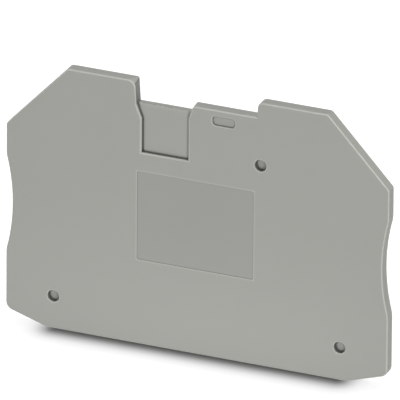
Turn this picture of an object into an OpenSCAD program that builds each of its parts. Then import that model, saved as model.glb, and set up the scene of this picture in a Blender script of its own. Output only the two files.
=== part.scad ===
// End plate for a row of rail-mounted terminal blocks, moulded in one piece.
// The inner face lies in the plane y = 0 and the outer face looks towards -y.
// The origin is midway between the two lower locating pegs. Heights below are from the lower edge.

/* [Plate] */
// Length of the plate
plate_l = 74; // [66:0.5:90]
// Height of the plate up to its shoulders
plate_h = 51.9; // [46:0.05:62]
// Thickness of the plate
plate_t = 2.2; // [1.8:0.1:3]
// Radius of the round along the outer face's edge
edge_r = 0.35; // [0.15:0.05:0.45]
// Width of the sloped shoulder at each upper corner
chamfer_w = 11.9; // [8:0.1:15]
// Height of the sloped shoulder at each upper corner
chamfer_h = 12.85; // [9:0.05:15]
// Radius at both ends of the sloped shoulder
chamfer_r = 0.8; // [0.5:0.1:3]
// Width of the bevel at each lower corner
bevel_w = 7.9; // [5:0.1:12]
// Height of the bevel at each lower corner
bevel_h = 2.5; // [1.5:0.1:4]
// Radius where the bevel meets the lower edge
bevel_r = 2; // [0.5:0.1:6]
// Radius where the bevel meets the side
foot_r = 1.6; // [0.5:0.1:2.5]

/* [Waist] */
// Depth of the hollow in each side
waist_d = 1.2; // [0.6:0.05:2]
// Straight side between the bevel and the hollow
land_low = 10.95; // [6:0.05:14]
// Straight side between the hollow and the sloped shoulder
land_high = 5.4; // [3:0.1:8]
// Radius that leads the side into the hollow
waist_lead_r = 6; // [2:0.5:12]

/* [Notch] */
// Distance of the notch's left wall from the middle, at the shoulder
notch_left = 12.1; // [11.9:0.1:13.5]
// Distance of the notch's right wall from the middle, at its foot
notch_right = 11.4; // [8:0.1:16]
// How far the notch's right wall leans out at the shoulder
notch_lean = 0.2; // [0:0.05:0.6]
// Depth of the notch down to the raised ledge on the right
ledge_drop = 3; // [2:0.1:4]
// Depth of the notch down to the top of the tongue on the left
tongue_drop = 4.55; // [4.1:0.05:6]
// Radius of the left shoulder's corner beside the notch, at the outer face
notch_left_r = 1.5; // [0.6:0.1:1.8]
// Radius of the left shoulder's corner beside the notch, at the inner face
notch_back_r = 0.4; // [0.3:0.05:1.5]
// Radius of the right shoulder's corner beside the notch
notch_right_r = 1.1; // [0.5:0.1:1.8]
// Radius at the ledge's free corner, at the outer face
ledge_r = 0.9; // [0.5:0.05:1.2]
// Radius at the ledge's free corner, at the inner face
ledge_back_r = 0.3; // [0.2:0.05:1]

/* [Pocket] */
// Width of the pocket
pocket_w = 8.95; // [6:0.05:9.2]
// Distance of the pocket's right wall from the middle, to the left
pocket_off = 1.8; // [1.6:0.05:4]
// Depth of the pocket's floor below the outer face
pocket_d = 0.85; // [0.5:0.05:1.1]
// Distance of the pocket's foot from the shoulders' top
pocket_drop = 13.85; // [11:0.05:15]
// Radius where the pocket's walls begin to flare
flare_r = 0.5; // [0.5:0.05:1]
// How far the left wall flares out at the tongue's top
flare_left_w = 1.05; // [0.4:0.05:1.15]
// Height of the left wall's flare
flare_left_h = 2.7; // [1.5:0.1:4]
// How far the right wall flares out at the ledge
flare_right_w = 0.9; // [0.4:0.05:1.4]
// Height of the right wall's flare
flare_right_h = 2.55; // [2.2:0.05:4]
// Depth of the lead-in slope at the tongue's upper edge
lead_d = 0.22; // [0.1:0.02:0.4]
// Height of the lead-in slope at the tongue's upper edge
lead_h = 0.75; // [0.3:0.05:1.2]

/* [Recesses] */
// Width of the bare label recess
label_w = 22.5; // [16:0.1:28]
// Height of the bare label recess
label_h = 17.4; // [12:0.1:19]
// Depth of the bare label recess
label_d = 0.1; // [0.05:0.05:0.5]
// Distance of the label recess's middle from the plate's middle, to the left
label_off = 0.3; // [0:0.1:2]
// Gap between the pocket's foot and the label recess
label_gap = 3.85; // [2:0.05:6]
// Corner radius of the label recess
label_r = 0.3; // [0.1:0.05:1]
// Width of the small slot recess under the ledge
slot_w = 4.3; // [2:0.1:5.4]
// Height of the small slot recess
slot_h = 1.75; // [1.2:0.05:2.2]
// Depth of the small slot recess
slot_d = 0.35; // [0.2:0.05:0.8]
// Distance of the slot's middle from the plate's middle, to the right
slot_off = 5.05; // [3:0.05:7]
// Distance of the slot's middle below the ledge
slot_drop = 2.1; // [1.7:0.05:3.5]
// Corner radius of the slot recess
slot_r = 0.6; // [0.2:0.05:0.6]

/* [Pegs] */
// Diameter of the locating pegs on the inner face
peg_d = 2.4; // [1.6:0.1:3.2]
// Length of the locating pegs
peg_l = 2.5; // [1.5:0.1:5]
// Lead-in chamfer at the pegs' tips
peg_lead = 0.4; // [0.2:0.05:0.6]
// Distance of the lower pegs from the plate's sides
peg_side = 9.25; // [6:0.05:12]
// Height of the lower pegs above the lower edge
peg_low = 6.45; // [4.5:0.05:9]
// Distance of the upper peg from the plate's middle, to the right
peg_off = 12.2; // [6:0.1:18]
// Distance of the upper peg below the shoulders' top
peg_drop = 12.35; // [9:0.05:15]
// Diameter of the sink relief in the outer face behind each peg
relief_d = 2.2; // [1.2:0.1:2.6]
// Depth of the sink relief
relief_l = 1.05; // [0.6:0.05:1.3]

/* [Hidden] */
$fn = 48;
// Longest chord on a rounded corner of the outline, and the most steps that one takes
arc_chord = 0.45;
arc_steps = 20;
// Rings that make the round along the outer edge
edge_rings = 4;
// Grid that the outline's points are held to, an exact binary fraction
grid = 1 / 1024;
// Overshoot of a cut past the surface that it opens
cut = 0.5;
// How far the tongue runs on into the plate around it
lap = 0.5;
plate_colour = "#A2A39D";

half_l = plate_l / 2;
ledge_z = plate_h - ledge_drop;
tongue_z = plate_h - tongue_drop;
tongue_t = plate_t - pocket_d;
pocket_low = plate_h - pocket_drop;
pocket_right = -pocket_off;
pocket_left = pocket_right - pocket_w;
label_z = pocket_low - label_gap - label_h / 2;
slot_z = ledge_z - slot_drop;

// The hollow in the side is an arc that meets both lands through the lead radius, all tangent.
waist_low = bevel_h + land_low;
waist_high = plate_h - chamfer_h - land_high;
waist_half = (waist_high - waist_low) / 2;
waist_reach = (pow(waist_half, 2) + pow(waist_d, 2)) / (2 * waist_d);
waist_turn = asin(waist_half / waist_reach);
waist_r = waist_reach - waist_lead_r;
waist_lead = waist_lead_r * tan(waist_turn / 2);
waist_tip = waist_d + waist_r * (1 / cos(waist_turn) - 1);

// Corners of the right side from the lower edge up, each as [x, height, radius].
// A fourth value is the radius at the inner face, where it isn't the same.
side_corners = [
    [half_l - bevel_w, 0, bevel_r],
    [half_l, bevel_h, foot_r],
    [half_l, waist_low + waist_lead, waist_lead_r],
    [half_l - waist_tip, waist_low + waist_half, waist_r],
    [half_l, waist_high - waist_lead, waist_lead_r],
    [half_l, plate_h - chamfer_h, chamfer_r],
    [half_l - chamfer_w, plate_h, chamfer_r],
];

// Where the right flare's slope passes the height of the tongue's top
flare_slope = flare_right_w / flare_right_h;
flare_foot = ledge_z - flare_right_h;
ledge_end = pocket_right + flare_right_w;
tongue_right = pocket_right + (tongue_z - flare_foot) * flare_slope;
tongue_left = pocket_left - flare_left_w;

peg_places = [
    [peg_side - half_l, peg_low],
    [half_l - peg_side, peg_low],
    [peg_off, plate_h - peg_drop],
];

function mirrored(corners) = [
    for (i = [len(corners) - 1 : -1 : 0]) [-corners[i].x, corners[i].y, corners[i][2]]
];

// The whole outline, with the pocket open at the top
plate_corners = concat(
    side_corners,
    [
        [notch_right + notch_lean, plate_h, notch_right_r],
        [notch_right, ledge_z, 0],
        [ledge_end, ledge_z, ledge_r, ledge_back_r],
        [pocket_right, flare_foot, flare_r],
        [pocket_right, pocket_low, 0],
        [pocket_left, pocket_low, 0],
        [pocket_left, tongue_z - flare_left_h, flare_r],
        [tongue_left, tongue_z, flare_r],
        [-notch_left, plate_h, notch_left_r, notch_back_r],
    ],
    mirrored(side_corners)
);

function box_corners(w, h, r) = [
    [-w / 2, -h / 2, r],
    [w / 2, -h / 2, r],
    [w / 2, h / 2, r],
    [-w / 2, h / 2, r],
];

function unit(v) = v / norm(v);
function inner_radius(corner) = is_undef(corner[3]) ? corner[2] : corner[3];
function left_of(v) = [-v.y, v.x];
function heading(a, b) = unit([b.x - a.x, b.y - a.y]);
function turn_between(into, out) = atan2(cross(into, out), into * out);
function turned(v, a) = [v.x * cos(a) - v.y * sin(a), v.x * sin(a) + v.y * cos(a)];

// Points are held to a fine grid, so that layers made from one outline meet exactly.
function on_grid(p) = [round(p.x / grid) * grid, round(p.y / grid) * grid];

// The corners moved inwards, each as [x, height, radius, steps of its arc].
// The radii are those at the inner face where inner is true.
function moved(corners, inset, inner) =
    let (n = len(corners))
    [
        for (i = [0 : n - 1])
            let (
                corner = corners[i],
                into = heading(corners[(i + n - 1) % n], corner),
                out = heading(corner, corners[(i + 1) % n]),
                turn = turn_between(into, out),
                tip = [corner.x, corner.y] + inset * (left_of(into) + left_of(out)) / (1 + into * out),
                full_r = inner ? inner_radius(corner) : corner[2],
                r = full_r == 0 ? 0 : full_r - sign(turn) * inset,
                steps = min(arc_steps, max(3, ceil(corner[2] * abs(turn) * PI / 180 / arc_chord)))
            )
            [tip.x, tip.y, r, steps]
    ];

// The arc that rounds one corner. A corner of radius 0 stays sharp.
function corner_arc(before, corner, after) =
    let (
        at = [corner.x, corner.y],
        into = heading(before, corner),
        turn = turn_between(into, heading(corner, after)),
        r = corner[2],
        steps = corner[3],
        start = at - into * r * tan(abs(turn) / 2),
        centre = start + sign(turn) * r * left_of(into)
    )
    [
        for (k = [0 : r == 0 ? 0 : steps])
            on_grid(r == 0 ? at : centre + turned(start - centre, turn * k / steps))
    ];

// The whole outline as points, without the points that two meeting arcs share
function outline(corners, inset, inner = false) =
    let (
        n = len(corners),
        tips = moved(corners, inset, inner),
        points = [
            for (i = [0 : n - 1]) each corner_arc(tips[(i + n - 1) % n], tips[i], tips[(i + 1) % n])
        ],
        last = len(points) - 1
    )
    [for (i = [0 : last]) if (norm(points[i] - points[i == 0 ? last : i - 1]) > grid) points[i]];

// The plate's rim as a closed band: the inner face's outline, rings of the outer face's outline
// that each lie a little further in, and one back at the inner face
module rim_band(corners, r) {
    rings = concat(
        [[for (p = outline(corners, 0, true)) [p.x, p.y, 0]]],
        [
            for (k = [0 : edge_rings])
                let (a = 90 * k / edge_rings)
                [for (p = outline(corners, r * (1 - cos(a)))) [p.x, p.y, plate_t - r * (1 - sin(a))]]
        ],
        [[for (p = outline(corners, r)) [p.x, p.y, 0]]]
    );
    m = len(rings);
    n = len(rings[0]);
    walls = [
        for (k = [0 : m - 1])
            for (i = [0 : n - 1])
                let (j = (i + 1) % n, next = (k + 1) % m)
                [k * n + i, next * n + i, next * n + j, k * n + j]
    ];
    polyhedron([for (ring = rings) each ring], walls);
}

// What the lead-in slope along the tongue's upper edge takes away. It runs on past both faces.
module tongue_lead() {
    foot = [tongue_z - lead_h, tongue_t];
    top = [tongue_z, tongue_t - lead_d];
    along = unit(top - foot);
    translate([tongue_left - lap - cut, 0, 0]) rotate([90, 0, 90])
        linear_extrude(tongue_right - tongue_left + 2 * (lap + cut))
            polygon([foot - cut * along, top + cut * along, [tongue_z + cut, tongue_t + cut]]);
}

// The plate lying on its inner face: its middle, the rim around that, and the tongue behind the pocket
module plate_body() {
    linear_extrude(plate_t) polygon(outline(plate_corners, edge_r));
    rim_band(plate_corners, edge_r);
    difference() {
        translate([tongue_left - lap, pocket_low - lap, 0])
            cube([tongue_right - tongue_left + 2 * lap, tongue_z - pocket_low + lap, tongue_t]);
        tongue_lead();
    }
}

module recess(w, h, r, depth) {
    translate([0, 0, plate_t - depth]) linear_extrude(depth + cut) polygon(outline(box_corners(w, h, r), 0));
}

module peg() {
    mirror([0, 0, 1]) {
        cylinder(d = peg_d, h = peg_l - peg_lead);
        translate([0, 0, peg_l - peg_lead]) cylinder(d1 = peg_d, d2 = peg_d - 2 * peg_lead, h = peg_lead);
    }
}

module end_plate() {
    color(plate_colour) rotate([90, 0, 0]) translate([0, -peg_low, 0]) {
        difference() {
            plate_body();
            translate([-label_off, label_z, 0]) recess(label_w, label_h, label_r, label_d);
            translate([slot_off, slot_z, 0]) recess(slot_w, slot_h, slot_r, slot_d);
            for (place = peg_places)
                translate([place.x, place.y, plate_t - relief_l]) cylinder(d = relief_d, h = relief_l + cut);
        }
        for (place = peg_places) translate([place.x, place.y, 0]) peg();
    }
}

end_plate();
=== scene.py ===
import math

import bmesh
import bpy
from mathutils import Matrix, Vector


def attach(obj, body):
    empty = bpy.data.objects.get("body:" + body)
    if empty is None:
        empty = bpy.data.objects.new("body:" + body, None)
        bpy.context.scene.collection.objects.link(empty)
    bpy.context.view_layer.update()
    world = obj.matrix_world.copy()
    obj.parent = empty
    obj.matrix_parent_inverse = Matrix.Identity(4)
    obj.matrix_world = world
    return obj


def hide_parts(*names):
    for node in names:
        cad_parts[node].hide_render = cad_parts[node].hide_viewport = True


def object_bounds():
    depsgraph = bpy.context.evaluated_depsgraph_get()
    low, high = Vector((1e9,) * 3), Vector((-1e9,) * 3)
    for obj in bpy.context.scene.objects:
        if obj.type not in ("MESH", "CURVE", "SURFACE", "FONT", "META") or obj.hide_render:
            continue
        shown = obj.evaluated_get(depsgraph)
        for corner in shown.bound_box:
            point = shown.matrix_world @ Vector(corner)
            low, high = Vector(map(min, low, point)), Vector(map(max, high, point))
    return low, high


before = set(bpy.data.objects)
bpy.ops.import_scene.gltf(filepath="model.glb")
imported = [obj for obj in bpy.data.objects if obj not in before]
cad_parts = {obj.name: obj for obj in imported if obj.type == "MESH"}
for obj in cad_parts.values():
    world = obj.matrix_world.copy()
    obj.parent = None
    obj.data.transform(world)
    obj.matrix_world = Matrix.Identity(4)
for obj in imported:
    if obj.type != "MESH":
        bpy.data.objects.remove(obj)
cad_low, cad_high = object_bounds()

MM = 0.001
OUTER_FACE = cad_low.y
LOWER_EDGE = cad_low.z
LABEL_DEPTH = 0.1 * MM
SLOT_DEPTH = 0.35 * MM
RELIEF_DEPTH = 1.05 * MM
ROUND = 0.35 * MM
# No recess is deeper than this
RECESS_LIMIT = 1.2 * MM
# The notch lies within this distance of the middle, and the pocket's walls between these heights
NOTCH_SIDE = 12.5 * MM
POCKET_FOOT, POCKET_TOP = 31 * MM, 41.5 * MM
# Points closer than the first are one point, and depths closer than the second are one depth
SAME_POINT, SAME_DEPTH = 0.0005 * MM, 0.01 * MM
# Faces that meet under the first angle are one flat face, faces that meet under the second are
# shaded as one curve, and an edge over the third is a sharp rim
FLAT, SMOOTH, SHARP = (math.radians(angle) for angle in (0.4, 35, 40))
# The plate's materials in their order: finishes, with a painted highlight on the rim and painted
# shade on the walls and the relief floors
MATT, SLOT_FLOOR, RIM, WALLS, LABEL, RELIEF = range(6)


def linear(hex_colour):
    """An sRGB hex colour as linear RGBA."""
    parts = [int(hex_colour[i:i + 2], 16) / 255 for i in (1, 3, 5)]
    return [c / 12.92 if c <= 0.04045 else ((c + 0.055) / 1.055) ** 2.4 for c in parts] + [1.0]


def add_node(tree, kind, settings=None, inputs=None):
    """Adds a node. Settings are its attributes, and inputs are values or sockets that feed it."""
    node = tree.nodes.new(kind)
    for name, value in (settings or {}).items():
        setattr(node, name, value)
    for name, value in (inputs or {}).items():
        if isinstance(value, bpy.types.NodeSocket):
            tree.links.new(value, node.inputs[name])
        else:
            node.inputs[name].default_value = value
    return node


def empty_material(name):
    """A material with no nodes yet, and its node tree."""
    material = bpy.data.materials.new(name)
    material.use_nodes = True
    material.node_tree.nodes.clear()
    return material, material.node_tree


def sight(tree):
    """1 for a ray from the camera, and 1 for a ray by way of a shiny or clear surface."""
    path = add_node(tree, "ShaderNodeLightPath")
    mirrored = add_node(tree, "ShaderNodeMath", {"operation": "MAXIMUM"}, {
        0: path.outputs["Is Glossy Ray"], 1: path.outputs["Is Transmission Ray"]})
    return path.outputs["Is Camera Ray"], mirrored.outputs[0]


def beyond_box(tree, place, middle, half):
    """How far a place lies beyond the sides of a box, in X, Y and Z, and below 0 inside them."""
    offset = add_node(tree, "ShaderNodeVectorMath", {"operation": "SUBTRACT"}, {
        0: place, 1: middle})
    across = add_node(tree, "ShaderNodeVectorMath", {"operation": "ABSOLUTE"}, {
        0: offset.outputs[0]})
    beyond = add_node(tree, "ShaderNodeVectorMath", {"operation": "SUBTRACT"}, {
        0: across.outputs[0], 1: half})
    return beyond.outputs[0]


def moulded_polyamide(name, light, dark, roughness, painted_edging=None):
    """Polyamide moulded against an eroded steel face: matt, faintly cloudy and finely grained, with
    painted shade in its corners.

    A painted edging is a box's middle and half size, a width and a colour: a band of that colour
    along the box's sides, outside them at a width above 0 and inside them at a width below 0. A pale
    band is a painted highlight and a dark one is painted shade.
    """
    material, tree = empty_material(name)
    place = add_node(tree, "ShaderNodeTexCoord").outputs["Object"]
    # The melt filled the mould in slow drifts of tone, about 14 mm across
    cloud_size = 14 * MM
    cloud = add_node(tree, "ShaderNodeTexNoise", inputs={
        "Vector": place, "Scale": 1 / cloud_size, "Detail": 3.0, "Roughness": 0.55})
    colour = add_node(tree, "ShaderNodeMix", {"data_type": "RGBA"}, {
        "Factor": cloud.outputs["Fac"]})
    colour.inputs["A"].default_value = linear(dark)
    colour.inputs["B"].default_value = linear(light)
    # Painted highlight or painted shade: a pale or dark band along the box's sides
    if painted_edging:
        middle, half, width, band_colour = painted_edging
        sides = add_node(tree, "ShaderNodeSeparateXYZ", inputs={
            "Vector": beyond_box(tree, place, middle, half)})
        nearer = add_node(tree, "ShaderNodeMath", {"operation": "MAXIMUM"}, {
            0: sides.outputs["X"], 1: sides.outputs["Z"]})
        nearest = add_node(tree, "ShaderNodeMath", {"operation": "MAXIMUM"}, {
            0: nearer.outputs[0], 1: sides.outputs["Y"]})
        painted_band = add_node(tree, "ShaderNodeMapRange", inputs={
            "Value": nearest.outputs[0], "From Min": width, "From Max": 0.0})
        plain = colour
        colour = add_node(tree, "ShaderNodeMix", {"data_type": "RGBA"}, {
            "Factor": painted_band.outputs["Result"]})
        tree.links.new(plain.outputs["Result"], colour.inputs["A"])
        colour.inputs["B"].default_value = linear(band_colour)
    # Painted shade: the corners of the recesses are darkened towards a dark grey within about 0.5 mm
    # of a wall
    painted_shade_width = 0.5 * MM
    corner_occlusion = add_node(tree, "ShaderNodeAmbientOcclusion", {"only_local": True}, {
        "Distance": painted_shade_width})
    clear = add_node(tree, "ShaderNodeMapRange", inputs={
        "Value": corner_occlusion.outputs["AO"], "From Min": 0.3, "From Max": 0.95})
    painted_corner_shade = add_node(tree, "ShaderNodeMix", {"data_type": "RGBA"}, {
        "Factor": clear.outputs["Result"]})
    painted_corner_shade.inputs["A"].default_value = linear("#3C3D3A")
    tree.links.new(colour.outputs["Result"], painted_corner_shade.inputs["B"])
    # The eroded grain is about 0.05 mm, drawn at 0.3 mm so that it shows
    grain_size, grain_height = 0.3 * MM, 0.02 * MM
    grain = add_node(tree, "ShaderNodeTexNoise", inputs={
        "Vector": place, "Scale": 1 / grain_size, "Detail": 2.0, "Roughness": 0.6})
    uneven = 0.05
    matt = add_node(tree, "ShaderNodeMapRange", inputs={
        "Value": grain.outputs["Fac"],
        "To Min": roughness - uneven, "To Max": roughness + uneven})
    bump = add_node(tree, "ShaderNodeBump", inputs={
        "Strength": 0.25, "Distance": grain_height, "Height": grain.outputs["Fac"]})
    shader = add_node(tree, "ShaderNodeBsdfPrincipled", inputs={
        "Base Color": painted_corner_shade.outputs["Result"],
        "Roughness": matt.outputs["Result"],
        "IOR": 1.53,
        "Normal": bump.outputs["Normal"]})
    add_node(tree, "ShaderNodeOutputMaterial", inputs={"Surface": shader.outputs["BSDF"]})
    return material


def eased(bm, chosen, width):
    """Rounds the chosen edges a little, as a moulded rim is."""
    bmesh.ops.bevel(
        bm, geom=chosen, offset=width, offset_type="OFFSET", affect="EDGES",
        segments=2, profile=0.5, material=-1, clamp_overlap=True)


def sharp(edge):
    return len(edge.link_faces) == 2 and edge.is_convex and edge.calc_face_angle() > SHARP


def lies_at(edge, y):
    return all(abs(v.co.y - y) < SAME_DEPTH for v in edge.verts)


def deepest(item):
    """How far a face or an edge reaches in from the outer face."""
    return max(v.co.y for v in item.verts) - OUTER_FACE


def floor_at(face, depth):
    """Whether a face is the flat floor of a recess of this depth."""
    middle = face.calc_center_median()
    return face.normal.y < -0.999 and abs(middle.y - OUTER_FACE - depth) < SAME_DEPTH


def beside_notch(face):
    """Whether a face is one of the notch's upright walls, through the plate's thickness."""
    middle = face.calc_center_median()
    upright = abs(face.normal.x) > 0.8
    return upright and abs(middle.x) < NOTCH_SIDE and OUTER_FACE < middle.y < 0


def in_pocket(face):
    middle = face.calc_center_median()
    within = -NOTCH_SIDE < middle.x < 0 and POCKET_FOOT < middle.z < POCKET_TOP
    return within and deepest(face) < RECESS_LIMIT


def material_slot_of(face):
    """Which of the plate's materials a face gets."""
    facing = face.normal.y
    flattest = -0.99 if in_pocket(face) else -0.95
    if floor_at(face, LABEL_DEPTH):
        return LABEL
    if floor_at(face, SLOT_DEPTH):
        return SLOT_FLOOR
    # The rounded rim gets a painted highlight
    if flattest < facing < -0.3 and deepest(face) < ROUND + SAME_DEPTH:
        return RIM
    # Relief floors and recess walls get painted shade
    if floor_at(face, RELIEF_DEPTH):
        return RELIEF
    if facing > -0.3 and (beside_notch(face) or in_pocket(face)):
        return WALLS
    if facing > -0.1 and deepest(face) < RECESS_LIMIT:
        return WALLS
    return MATT


def label_box(bm):
    """The middle and the half size of a box round the label place."""
    corners = [v.co for f in bm.faces if floor_at(f, LABEL_DEPTH) for v in f.verts]
    left, right = min(c.x for c in corners), max(c.x for c in corners)
    foot, top = min(c.z for c in corners), max(c.z for c in corners)
    middle = ((left + right) / 2, OUTER_FACE, (foot + top) / 2)
    half = ((right - left) / 2, 0.5 * MM, (top - foot) / 2)
    return middle, half


def moulded_plate():
    """The plate as one merged mesh, with small rims eased and smooth between its sharp edges."""
    bm = bmesh.new()
    bm.from_mesh(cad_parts["end_plate"].data)
    bmesh.ops.remove_doubles(bm, verts=bm.verts, dist=SAME_POINT)
    bmesh.ops.dissolve_limit(
        bm, angle_limit=FLAT, use_dissolve_boundaries=False, verts=bm.verts, edges=bm.edges)

    inner_rim = [e for e in bm.edges if sharp(e) and lies_at(e, 0.0)]
    eased(bm, inner_rim, 0.04 * MM)
    mouths = [e for e in bm.edges if sharp(e) and lies_at(e, OUTER_FACE)]
    shallow = [e for e in mouths if max(deepest(f) for f in e.link_faces) < 2 * LABEL_DEPTH]
    eased(bm, [e for e in mouths if e not in shallow], 0.22 * MM)
    eased(bm, shallow, 0.08 * MM)

    middle, half = label_box(bm)
    for face in bm.faces:
        face.smooth = True
        face.material_index = material_slot_of(face)
    for edge in bm.edges:
        edge.smooth = len(edge.link_faces) == 2 and edge.calc_face_angle() < SMOOTH

    mesh = bpy.data.meshes.new("end_plate_moulding")
    bm.to_mesh(mesh)
    bm.free()
    plate = bpy.data.objects.new("end_plate_moulding", mesh)
    bpy.context.scene.collection.objects.link(plate)
    # The matt faces are a soft even grey, with a pale line round the label place as a painted
    # highlight and a darker line inside it as painted shade. The rim is paler as a painted
    # highlight, the walls and the relief floors are darker as painted shade, and these three are a
    # little less rough. The slot floor and the label place are a little darker.
    slot_looks = (
        ("matt grey", "#A4A59F", "#A0A19B", 0.62, (middle, half, 0.35 * MM, "#B6B7B1")),
        ("finer matt", "#9D9E99", "#999A95", 0.62),
        ("burnished rim", "#B8B9B3", "#B4B5AF", 0.5),
        ("smooth walls", "#757671", "#71726D", 0.5),
        ("label place", "#9D9E99", "#999A95", 0.62, (middle, half, -0.25 * MM, "#969792")),
        ("relief floors", "#8E8F8A", "#8A8B86", 0.5))
    for slot_name, *look in slot_looks:
        mesh.materials.append(moulded_polyamide("moulded polyamide, " + slot_name, *look))
    normals = plate.modifiers.new("flat faces stay flat", "WEIGHTED_NORMAL")
    normals.keep_sharp = True
    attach(plate, "root")
    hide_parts("end_plate")


def pale_floor():
    """A pale table under the plate. To the eye it is white, and near the plate's foot it has a
    painted shadow over the real one.
    """
    bm = bmesh.new()
    bmesh.ops.create_circle(bm, cap_ends=True, segments=96, radius=0.9)
    bmesh.ops.translate(bm, verts=bm.verts, vec=(0, 0, LOWER_EDGE))
    mesh = bpy.data.meshes.new("pale_floor")
    bm.to_mesh(mesh)
    bm.free()
    floor = bpy.data.objects.new("pale_floor", mesh)
    bpy.context.scene.collection.objects.link(floor)
    material, tree = empty_material("pale matt table top")
    # How far a point of the table lies from the plate's foot
    place = add_node(tree, "ShaderNodeTexCoord").outputs["Object"]
    foot_middle = (0.05 * MM, OUTER_FACE / 2, 0)
    foot_half = (27.25 * MM, -OUTER_FACE / 2, 1)
    beyond = beyond_box(tree, place, foot_middle, foot_half)
    outside = add_node(tree, "ShaderNodeVectorMath", {"operation": "MAXIMUM"}, {
        0: beyond, 1: (0, 0, 0)})
    away = add_node(tree, "ShaderNodeVectorMath", {"operation": "LENGTH"}, {
        0: outside.outputs[0]})
    # To the eye it glows white a little way off. Near the foot the glow is dimmed as a painted
    # shadow, over the real shadow on the matt grey. Each step is a distance in mm and the share of
    # white there.
    reach = 24 * MM
    share = add_node(tree, "ShaderNodeMapRange", inputs={
        "Value": away.outputs["Value"], "From Max": reach})
    painted_shadow_ramp = add_node(tree, "ShaderNodeValToRGB", inputs={"Fac": share.outputs["Result"]})
    steps = (
        (0.6, 0.07), (1.35, 0.18), (2.5, 0.45), (3.7, 0.68),
        (4.5, 0.79), (6.0, 0.88), (9.0, 0.95))
    for far, level in steps:
        painted_shadow_ramp.color_ramp.elements.new(far * MM / reach).color = (level, level, level, 1)
    painted_shadow_ramp.color_ramp.elements[0].color = (0.025, 0.025, 0.025, 1)
    painted_shadow_ramp.color_ramp.elements[-1].color = (1, 1, 1, 1)
    direct, mirrored = sight(tree)
    seen = add_node(tree, "ShaderNodeMath", {"operation": "MULTIPLY"}, {
        0: painted_shadow_ramp.outputs["Color"], 1: direct})
    strength = add_node(tree, "ShaderNodeMath", {"operation": "MAXIMUM"}, {
        0: seen.outputs[0], 1: mirrored})
    matt = add_node(tree, "ShaderNodeBsdfDiffuse", inputs={"Color": linear("#808080")})
    white = add_node(tree, "ShaderNodeEmission", inputs={
        "Color": linear("#FFFFFF"), "Strength": strength.outputs[0]})
    surface = add_node(tree, "ShaderNodeAddShader", inputs={
        0: matt.outputs[0], 1: white.outputs[0]})
    add_node(tree, "ShaderNodeOutputMaterial", inputs={"Surface": surface.outputs[0]})
    mesh.materials.append(material)


def bearing(turn, rise):
    """The direction at an angle round the plate from its front, and an angle above the table."""
    turn, rise = math.radians(turn), math.radians(rise)
    return Vector((
        math.sin(turn) * math.cos(rise), -math.cos(turn) * math.cos(rise), math.sin(rise)))


def soft_lamp(name, turn, rise, far, wide, high, level, aim=0.02, glints=True):
    """A soft box turned to the plate, at two angles, with its distance and size in metres.

    At level 1 a surface that faces it renders as its colour is written. Without glints it lights
    the plate and leaves no shine on it.
    """
    watts_at_one_metre = 9.87
    data = bpy.data.lights.new(name, "AREA")
    data.shape = "RECTANGLE"
    data.size, data.size_y = wide, high
    data.energy = watts_at_one_metre * far * far * level
    lamp = bpy.data.objects.new(name, data)
    lamp.location = Vector((0, 0, aim)) + bearing(turn, rise) * far
    lamp.rotation_mode = "QUATERNION"
    lamp.rotation_quaternion = bearing(turn, rise).to_track_quat("Z", "Y")
    lamp.visible_camera = False
    lamp.visible_glossy = glints
    bpy.context.scene.collection.objects.link(lamp)


def studio():
    """Soft boxes round the plate, and a surround that is white to the eye and gives little light."""
    soft_lamp("front soft box", -10, 5, 1.2, 0.10, 0.10, 0.44)
    soft_lamp("right front soft box", 42, 4, 1.2, 0.12, 0.10, 0.42)
    soft_lamp("low strip", 0, 0, 0.024, 0.07, 0.003, 0.18, LOWER_EDGE + 2 * MM)
    soft_lamp("overhead soft box", 180, 83, 0.7, 0.16, 0.16, 0.55)
    soft_lamp("right soft box", 91.5, 8, 0.6, 0.04, 0.05, 0.26)
    soft_lamp("back soft box", 180, 2, 0.6, 0.30, 0.06, 0.6, glints=False)
    soft_lamp("left back soft box", -118, 8, 0.6, 0.10, 0.06, 0.4, glints=False)
    world = bpy.data.worlds.new("white surround")
    bpy.context.scene.world = world
    world.use_nodes = True
    tree = world.node_tree
    tree.nodes.clear()
    direct, mirrored = sight(tree)
    eye = add_node(tree, "ShaderNodeMath", {"operation": "MAXIMUM"}, {0: direct, 1: mirrored})
    strength = add_node(tree, "ShaderNodeMapRange", inputs={
        "Value": eye.outputs[0], "To Min": 0.03, "To Max": 1.0})
    surround = add_node(tree, "ShaderNodeBackground", inputs={
        "Color": linear("#FFFFFF"), "Strength": strength.outputs["Result"]})
    add_node(tree, "ShaderNodeOutputWorld", inputs={"Surface": surround.outputs[0]})


def camera():
    """A long lens, from the right and above, a hair off level."""
    turn, rise = 21.99, 25.052
    tilt = math.radians(-0.431)
    right = bearing(turn + 90, 0)
    up = bearing(turn + 180, 90 - rise)
    back = bearing(turn, rise)
    level = math.cos(tilt) * right - math.sin(tilt) * up
    plumb = math.sin(tilt) * right + math.cos(tilt) * up
    distance = 3.4
    picture_width, pixels_per_mm = 400, 5.5814
    # The picture's middle lies this many pixels right of and above a point about half way up the
    # outer face
    marked = Vector((0, OUTER_FACE, LOWER_EDGE + 25.62 * MM))
    rightward, upward = 3.446, 25.174
    aim = marked + level * (rightward / pixels_per_mm * MM) + plumb * (upward / pixels_per_mm * MM)
    data = bpy.data.cameras.new("long lens")
    data.sensor_width = 36
    data.lens = data.sensor_width * pixels_per_mm / MM * distance / picture_width
    data.clip_start, data.clip_end = 0.1, 100
    view = bpy.data.objects.new("long lens", data)
    turned = Matrix((level, plumb, back)).transposed()
    view.matrix_world = Matrix.Translation(aim + back * distance) @ turned.to_4x4()
    bpy.context.scene.collection.objects.link(view)
    bpy.context.scene.camera = view


moulded_plate()
pale_floor()
studio()
camera()
bpy.context.scene.view_settings.view_transform = "Standard"
